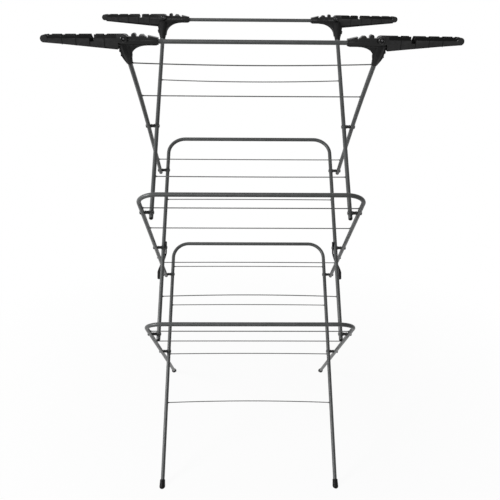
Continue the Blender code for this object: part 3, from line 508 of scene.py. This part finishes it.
def add_wire(name, body):
    """A drying wire with its bow and a small weld at each leg."""
    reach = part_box(name)[1].x
    end = middle_point(name, reach - GAP, reach)
    middle = middle_point(name, -reach / 4, reach / 4, fallback=end)
    points = []
    for share in (2 * i / WIRE_STEPS - 1 for i in range(WIRE_STEPS + 1)):
        level = end.lerp(middle, 1 - share * share)
        points.append(Vector((reach * share, level.y, level.z)))
    shape = add_swept(bmesh.new(), points, BACKWARDS, [WIRE_RADIUS] * len(points), WIRE_SIDES)
    weld = (
        (0, WELD_RADIUS),
        (WELD_LENGTH / 4, WELD_RADIUS * WELD_WAIST_SHARE),
        (WELD_LENGTH / 2, WIRE_RADIUS * WELD_FOOT_SHARE),
        (WELD_LENGTH, WIRE_RADIUS),
    )
    for side in (-1, 1):
        add_turned(shape, Vector((side * reach, end.y, end.z)), ACROSS * -side, weld, WIRE_SIDES)
    show(name + "_painted", shape, looks["wire"], body, 60, (name,))


# Pins and foot caps

def rounded_head(face, outwards):
    """Profile of a domed rivet head from its rim to its crown."""
    rows = [(face, HEAD_RADIUS)]
    for turn in (math.pi / 2 * i / HEAD_STEPS for i in range(1, HEAD_STEPS + 1)):
        rise = HEAD_EDGE_SHARE + (1 - HEAD_EDGE_SHARE) * math.sin(turn)
        rows.append((face + outwards * HEAD_THICKNESS * rise, HEAD_RADIUS * max(math.cos(turn), CROWN_SHARE)))
    return rows


def add_pin(name, body):
    """A rivet through both legs, with a cup under each domed head, and the spacer round it."""
    low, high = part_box(name)
    centre = (low + high) / 2
    start = Vector((0, centre.y, centre.z))
    axis = ACROSS * side_of(name)
    inner, outer = sorted((abs(low.x), abs(high.x)))
    inner_face, outer_face = inner + HEAD_THICKNESS, outer - HEAD_THICKNESS
    profile = list(reversed(rounded_head(inner_face, -1)))
    profile += [(inner_face, PIN_RADIUS), (outer_face, PIN_RADIUS)]
    profile += rounded_head(outer_face, 1)
    shape = add_turned(bmesh.new(), start, axis, profile)
    show(name + "_rivet", shape, looks["rivet"], body, 40, (name,))
    rows = [(CUP_HEIGHT * rise, radius * share) for rise, radius, share in CUP_SHARES]
    for label, face, outwards in (("outer", outer_face, 1), ("inner", inner_face, -1)):
        cup = add_ring(bmesh.new(), start + axis * face, axis * outwards, rows)
        show(f"{name}_{label}_cup", cup, looks["tube"], body, 40)
    add_spacer(name + "_spacer", start, axis, body)


def add_spacer(name, start, axis, body):
    """The black spacer between two legs, with a collar at each end."""
    near, far = inner_half + TUBE_RADIUS + GAP, outer_half - TUBE_RADIUS - GAP
    lip = COLLAR_LENGTH / 3
    collar = (
        (0, COLLAR_RADIUS * COLLAR_EDGE_SHARE),
        (lip / 3, COLLAR_RADIUS),
        (lip, COLLAR_RADIUS),
        (COLLAR_LENGTH, SPACER_RADIUS),
    )
    profile = [(near + d, r) for d, r in collar] + [(far - d, r) for d, r in reversed(collar)]
    show(name, add_turned(bmesh.new(), start, axis, profile), looks["plastic"], body, 30)


def foot_cap_profile():
    """A foot cap's profile along its leg: toe, barrel with grip rings, and rounded mouth."""
    mouth = CAP_LENGTH - CAP_RIM_LENGTH
    step = mouth / CAP_RINGS / 6
    profile = [(-CAP_TOE_LENGTH, CAP_TOE_RADIUS), (-CAP_TOE_LENGTH / 3, CAP_RADIUS * CAP_HEEL_SHARE)]
    profile.append((0, CAP_RADIUS))
    for i in range(CAP_RINGS):
        place = mouth * (i + CAP_RING_START_SHARE) / (CAP_RINGS + 1 - CAP_RING_START_SHARE)
        radius = CAP_RADIUS + (CAP_MOUTH_RADIUS - CAP_RADIUS) * place / mouth
        sunk = radius - CAP_RING_DEPTH
        profile += [(place - step, radius), (place - step / 2, sunk), (place + step / 2, sunk)]
        profile.append((place + step, radius))
    profile.append((mouth, CAP_MOUTH_RADIUS))
    return profile + [(CAP_LENGTH - back, CAP_MOUTH_RADIUS * share) for back, share in CAP_LIP]


def add_foot_cap(name, lean, body):
    """A foot cap, cut off flat at the floor."""
    low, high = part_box(name)
    half_width = (abs(low.x) + abs(high.x)) / 2
    foot_y = foot_reach * math.cos(LEG_ANGLE) * (1 if low.y > 0 else -1)
    start = Vector((side_of(name) * half_width, foot_y, 0))
    shape = add_turned(bmesh.new(), start, lean, foot_cap_profile())
    everything = shape.verts[:] + shape.edges[:] + shape.faces[:]
    cut = bmesh.ops.bisect_plane(
        shape, geom=everything, plane_co=(0, 0, 0), plane_no=(0, 0, 1), clear_inner=True)
    rim = [edge for edge in cut["geom_cut"] if isinstance(edge, bmesh.types.BMEdge)]
    bmesh.ops.contextual_create(shape, geom=rim)
    show(name + "_moulded", shape, looks["rubber_and_shade"], body, 45, (name,))


# Arms, corners and levers

def arm_place(name):
    """A function from an arm's own places (outwards, depth, height) to the world, with its droop."""
    side, row = side_of(name), name.split("_")[0]
    rail = middle_point(f"top_{row}_rail", -1, 1)
    half_width = (outer_half + TOP_FRONT_SPREAD) if row == "front" else inner_half
    facing = -1 if row == "front" else 1
    hinge = Vector((side * (half_width + HINGE_PLACE), rail.y, rail.z + HINGE_HEIGHT))

    def world(out, depth, height):
        reach, rise = out - HINGE_PLACE, height - HINGE_HEIGHT
        level = reach * math.cos(ARM_DROOP) + rise * math.sin(ARM_DROOP)
        lift = rise * math.cos(ARM_DROOP) - reach * math.sin(ARM_DROOP)
        return hinge + Vector((side * level, facing * depth, lift))
    return world


def underside(out):
    """Height of an arm's lower edge at a distance outwards."""
    share = (out - ARM_ROOT) / (ARM_TIP - ARM_ROOT)
    return share * -ARM_TIP_DEPTH - (1 - share) * ARM_ROOT_DEPTH


def add_arm_ribs(name, world, body):
    """Thin ribs down an arm's walls, and across its floor, in the darkest black as painted shade, so that
    they show as dark lines.
    """
    ribs = bmesh.new()
    for out in RIB_PLACES:
        low = underside(out) - RIB_HEIGHT
        corners = rectangle(out - RIB_HALF_WIDTH, out + RIB_HALF_WIDTH, low, ARM_LEDGE_HEIGHT)
        for way in (-1, 1):
            near, far = way * (ARM_HALF_WIDTH - ARM_WALL / 2), way * (ARM_HALF_WIDTH + RIB_HEIGHT)
            add_slab(ribs, [world(a, near, z) for a, z in corners], world(0, far, 0) - world(0, near, 0))
    inside = ARM_HALF_WIDTH - ARM_WALL + GAP
    along = world(2 * RIB_HALF_WIDTH, 0, 0) - world(0, 0, 0)
    for out in CROSS_RIB_PLACES:
        floor = underside(out) + ARM_WALL * BEDDING_SHARE
        corners = rectangle(-inside, inside, floor, floor + ARM_WALL)
        add_slab(ribs, [world(out - RIB_HALF_WIDTH, d, z) for d, z in corners], along)
    # Painted shade: the ribs take the darkest black, so that they show as dark lines
    show(name + "_ribs", ribs, looks["rubber_and_shade"], body, 30)


def add_arm_skirt(name, world, body):
    """The deeper part of an arm's inner wall, set just proud and in the darkest black as painted shade along
    the arm's lower edge.
    """
    start, end = ARM_ROOT + ARM_WALL, ARM_TIP - ARM_TIP_RADIUS / 2
    corners = (
        (start, underside(start) + ARM_WALL / 2),
        (end, underside(end) + ARM_WALL / 2),
        (end, underside(end) - SKIRT_DROP / 3),
        (start + SKIRT_DROP, underside(start) - SKIRT_DROP),
        (start, underside(start) - SKIRT_DROP / 2),
    )
    # Painted shade: set just proud of the wall, so that a dark strip shows along the arm's lower edge
    near = -ARM_HALF_WIDTH - GAP
    through = world(0, near + ARM_WALL * SKIRT_WALL_SHARE, 0) - world(0, near, 0)
    skirt = add_slab(bmesh.new(), [world(a, near, z) for a, z in corners], through)
    show(name + "_skirt", skirt, looks["rubber_and_shade"], body, 30)


def add_tip_discs(name, world, across, body):
    """A raised disc on each side of an arm's tip."""
    face, radius, edge = ARM_HALF_WIDTH + RIB_HEIGHT, ARM_TIP_RADIUS * TIP_DISC_SHARE, RIB_HEIGHT * 2
    rows = [(ARM_HALF_WIDTH - ARM_WALL * BEDDING_SHARE, radius), (face - edge, radius)]
    rows += [(face, radius - edge), (face, radius / 2)]
    discs = bmesh.new()
    for way in (-1, 1):
        add_turned(discs, world(ARM_TIP, 0, ARM_TIP_HEIGHT), across * way, rows)
    show(name + "_tip_discs", discs, looks["arm"], body, 30)


def add_lug_rings(name, world, across, body):
    """The raised rings round an arm's hinge pin."""
    for label, way, share in LUG_RING_SHARES:
        rows = [(height * share, radius) for height, radius in LUG_RING]
        start = world(HINGE_PLACE, way * ARM_HALF_WIDTH, HINGE_HEIGHT)
        ring = add_ring(bmesh.new(), start, across * way, rows)
        show(f"{name}_{label}_lug_ring", ring, looks["gloss"], body, 40)


def paint_arm_shade(name, world):
    """Leave an arm's lower walls in its own black, and paint shade on its channel and its recessed upper
    bands with the darkest black.
    """
    solid = frame["nodes"][name]
    solid.data.materials.append(looks["rubber_and_shade"])
    ledge = world(ARM_TIP / 2, 0, ARM_LEDGE_HEIGHT).z
    wall = ARM_HALF_WIDTH - ARM_LEDGE_WIDTH
    # Painted shade: faces of the recessed upper bands and of the channel take the darkest black
    for face in solid.data.polygons:
        depth = abs(face.center.y - world(0, 0, 0).y)
        recessed = abs(face.normal.y) > 0.9 and face.center.z > ledge and abs(depth - wall) < GAP
        if recessed or depth < ARM_HALF_WIDTH - ARM_WALL * CHANNEL_WALL_SHARE:
            face.material_index = 1


def dress_arm(name, body):
    """An arm's black with painted shade on its recesses, and the details on it."""
    world = arm_place(name)
    across = (world(0, 1, 0) - world(0, 0, 0)).normalized()
    dress_solid(name, looks["arm"], PLASTIC_BEVEL)
    paint_arm_shade(name, world)
    add_arm_ribs(name, world, body)
    add_arm_skirt(name, world, body)
    add_tip_discs(name, world, across, body)
    add_lug_rings(name, world, across, body)


def dress_corner(name):
    """A corner's glossy top block, and the matt web and leg sleeve below it."""
    dress_solid(name, looks["gloss"], PLASTIC_BEVEL)
    solid = frame["nodes"][name]
    solid.data.materials.append(looks["matt"])
    rail = middle_point(f"top_{name.split('_')[0]}_rail", -1, 1)
    for face in solid.data.polygons:
        if face.center.z < rail.z - RAIL_RADIUS:
            face.material_index = 1


def lever_rows(inner, middle):
    """A lever's sections: distance along, place across, half thickness, half width and squareness."""
    half = LEVER_THICKNESS / 2
    rows = [(reach - LEVER_STUB, inner, half * thick, LEVER_HALF_WIDTH * wide, SHANK_POWER)
            for reach, thick, wide in LEVER_END]
    for share in (i / LEVER_BEND_STEPS for i in range(LEVER_BEND_STEPS + 1)):
        eased = share * share * (3 - 2 * share)
        bent = (1 - LEVER_EASE_SHARE) * share + LEVER_EASE_SHARE * eased
        rows.append((
            LEVER_BEND + (GRIP_START - LEVER_BEND) * share,
            inner + (middle - inner) * bent,
            half + (GRIP_HALF_THICK - half) * eased,
            LEVER_HALF_WIDTH,
            SHANK_POWER + (GRIP_POWER - SHANK_POWER) * eased,
        ))
    for turn in (math.pi / 2 * i / GRIP_STEPS for i in range(GRIP_STEPS)):
        reach = GRIP_END - GRIP_HALF_THICK * GRIP_ROUND_SHARE * (1 - math.sin(turn))
        share = max(math.cos(turn), GRIP_TIP_SHARE)
        rows.append((reach, middle, GRIP_HALF_THICK * share, LEVER_HALF_WIDTH * share, GRIP_POWER))
    return rows


def add_lever(name, body):
    """A lock lever: a flat shank on its pivot, a long easy bend out between the legs, and a round grip."""
    side = side_of(name)
    square = Vector((0, math.sin(LEG_ANGLE), -math.cos(LEG_ANGLE)))
    along = square * math.sin(LEVER_PARK_ANGLE) - UP_BACK * math.cos(LEVER_PARK_ANGLE)
    across = ACROSS.cross(along)
    inner = inner_half - TUBE_RADIUS - GAP - LEVER_THICKNESS / 2
    shape = bmesh.new()
    rings = []
    for reach, out, half_thick, half_wide, power in lever_rows(inner, (inner_half + outer_half) / 2):
        centre = middle_crossing + ACROSS * (side * out) + along * reach
        ring = []
        for turn in (2 * math.pi * i / TUBE_SIDES for i in range(TUBE_SIDES)):
            x, y = (math.copysign(abs(f(turn)) ** (2 / power), f(turn)) for f in (math.cos, math.sin))
            ring.append(shape.verts.new(centre + ACROSS * (x * half_thick) + across * (y * half_wide)))
        rings.append(ring)
    bridge(shape, rings)
    made = show(name + "_moulded", shape, looks["matt"], body, 40, (name,))
    start = middle_crossing + ACROSS * (side * inner - LEVER_THICKNESS)
    hole = ((0, PIN_RADIUS + GAP), (2 * LEVER_THICKNESS, PIN_RADIUS + GAP))
    cut_away(made, add_turned(bmesh.new(), start, ACROSS, hole))


# Studio

def background_rays(tree):
    """1 for the rays that show the background: camera, glossy and transmission rays."""
    path = add_node(tree, "ShaderNodeLightPath")
    total = path.outputs["Is Camera Ray"]
    for kind in ("Is Glossy Ray", "Is Transmission Ray"):
        more = add_node(tree, "ShaderNodeMath", operation="MAXIMUM")
        tree.links.new(total, more.inputs[0])
        tree.links.new(path.outputs[kind], more.inputs[1])
        total = more.outputs["Value"]
    return total


def floor_paper():
    """Pale paper that glows white away from the airer, for the rays that show the background."""
    paper = bpy.data.materials.new("studio_floor")
    paper.use_nodes = True
    tree = paper.node_tree
    shader = tree.nodes["Principled BSDF"]
    shader.inputs["Base Color"].default_value = (FLOOR_GREY, FLOOR_GREY, FLOOR_GREY, 1)
    shader.inputs["Roughness"].default_value = FLOOR_ROUGHNESS
    glow = add_node(tree, "ShaderNodeEmission")
    glow.inputs["Strength"].default_value = 1.0
    mix = add_node(tree, "ShaderNodeMixShader")
    place = add_node(tree, "ShaderNodeTexCoord")
    away = add_node(tree, "ShaderNodeVectorMath", operation="LENGTH")
    fade = add_node(tree, "ShaderNodeMapRange")
    fade.inputs["From Min"].default_value, fade.inputs["From Max"].default_value = FLOOR_FADE
    fade.inputs["To Min"].default_value, fade.inputs["To Max"].default_value = FLOOR_GLOW
    share = add_node(tree, "ShaderNodeMath", operation="MULTIPLY")
    tree.links.new(place.outputs["Object"], away.inputs[0])
    tree.links.new(away.outputs["Value"], fade.inputs["Value"])
    tree.links.new(fade.outputs["Result"], share.inputs[1])
    tree.links.new(background_rays(tree), share.inputs[0])
    tree.links.new(share.outputs["Value"], mix.inputs["Fac"])
    tree.links.new(shader.outputs["BSDF"], mix.inputs[1])
    tree.links.new(glow.outputs["Emission"], mix.inputs[2])
    tree.links.new(mix.outputs["Shader"], tree.nodes["Material Output"].inputs["Surface"])
    return paper


def add_studio():
    """A pale floor, a white surround that lights the airer faintly, and three soft lamps."""
    scene = bpy.context.scene
    shape = bmesh.new()
    bmesh.ops.create_grid(shape, x_segments=1, y_segments=1, size=FLOOR_SIZE)
    floor = make_object("floor", shape)
    floor.data.materials.append(floor_paper())

    world = bpy.data.worlds.new("studio")
    scene.world = world
    world.use_nodes = True
    tree = world.node_tree
    ground = tree.nodes["Background"]
    ground.inputs["Color"].default_value = (1, 1, 1, 1)
    level = add_node(tree, "ShaderNodeMapRange")
    level.inputs["To Min"].default_value = WORLD_LEVEL
    level.inputs["To Max"].default_value = 1.0
    tree.links.new(background_rays(tree), level.inputs["Value"])
    tree.links.new(level.outputs["Result"], ground.inputs["Strength"])

    for name, place, size, power in LAMPS:
        lamp = bpy.data.lights.new(name, "AREA")
        lamp.shape, lamp.size, lamp.energy = "DISK", size, power
        holder = bpy.data.objects.new(name, lamp)
        holder.location = place
        aim = LAMPS_AIM - Vector(place)
        holder.rotation_euler = aim.to_track_quat("-Z", "Y").to_euler()
        scene.collection.objects.link(holder)


def add_camera():
    """The photograph's camera."""
    ahead = Vector((
        math.sin(CAMERA_YAW) * math.cos(CAMERA_PITCH),
        math.cos(CAMERA_YAW) * math.cos(CAMERA_PITCH),
        -math.sin(CAMERA_PITCH),
    ))
    right = Vector((math.cos(CAMERA_YAW), -math.sin(CAMERA_YAW), 0))
    up = right.cross(ahead)
    rolled_right = right * math.cos(CAMERA_ROLL) + up * math.sin(CAMERA_ROLL)
    rolled_up = up * math.cos(CAMERA_ROLL) - right * math.sin(CAMERA_ROLL)
    camera = bpy.data.cameras.new("camera")
    camera.sensor_width = SENSOR_MM
    camera.lens = FOCAL_PX / FRAME_PX * SENSOR_MM
    holder = bpy.data.objects.new("camera", camera)
    turn = Matrix((rolled_right, rolled_up, -ahead)).transposed().to_4x4()
    holder.matrix_world = Matrix.Translation(CAMERA_PLACE) @ turn
    bpy.context.scene.collection.objects.link(holder)
    bpy.context.scene.camera = holder


# The airer

def build_airer():
    """Dress every piece of the airer."""
    for name in sorted(frame["nodes"]):
        body = body_of(name)
        lean = UP_BACK if "_rear" in name else UP_FRONT
        if name.endswith("_frame"):
            add_tier_frame(name, lean, body)
        elif name.endswith("_leg"):
            add_leg(name, lean, body)
        elif name.endswith("_rail"):
            add_rail(name, body)
        elif "_wire_" in name:
            add_wire(name, body)
        elif name.endswith(("hinge_pin", "_stud")):
            dress_solid(name, looks["rivet"], STEEL_BEVEL)
        elif name.endswith("_pin"):
            add_pin(name, body)
        elif name.endswith("_foot_cap"):
            add_foot_cap(name, UP_BACK if name.startswith("front") else UP_FRONT, body)
        elif name.endswith("_lever"):
            add_lever(name, body)
        elif name.endswith("_arm"):
            dress_arm(name, body)
        else:
            dress_corner(name)


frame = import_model()
looks = {
    "tube": satin_enamel(*TUBE_ENAMEL),
    "wire": satin_enamel(*WIRE_ENAMEL),
    "rivet": rivet_steel(*RIVET_STEEL),
}
looks.update({key: moulded_plastic(*values) for key, values in MOULDINGS.items()})
inner_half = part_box("tier_1_rear_frame")[1].x - TUBE_RADIUS
outer_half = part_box("tier_1_front_frame")[1].x - TUBE_RADIUS
bodies_of = frame["record"]["behaviour"]["bodies"]
crossings = {joint["name"]: Vector(joint["pos_m"]) for joint in frame["joints"]}
middle_crossing, upper_crossing = crossings["middle_crossing"], crossings["upper_crossing"]
foot_reach = crossings["fold"].z / math.sin(LEG_ANGLE)

build_airer()
add_studio()
add_camera()
bpy.context.scene.view_settings.view_transform = "Standard"
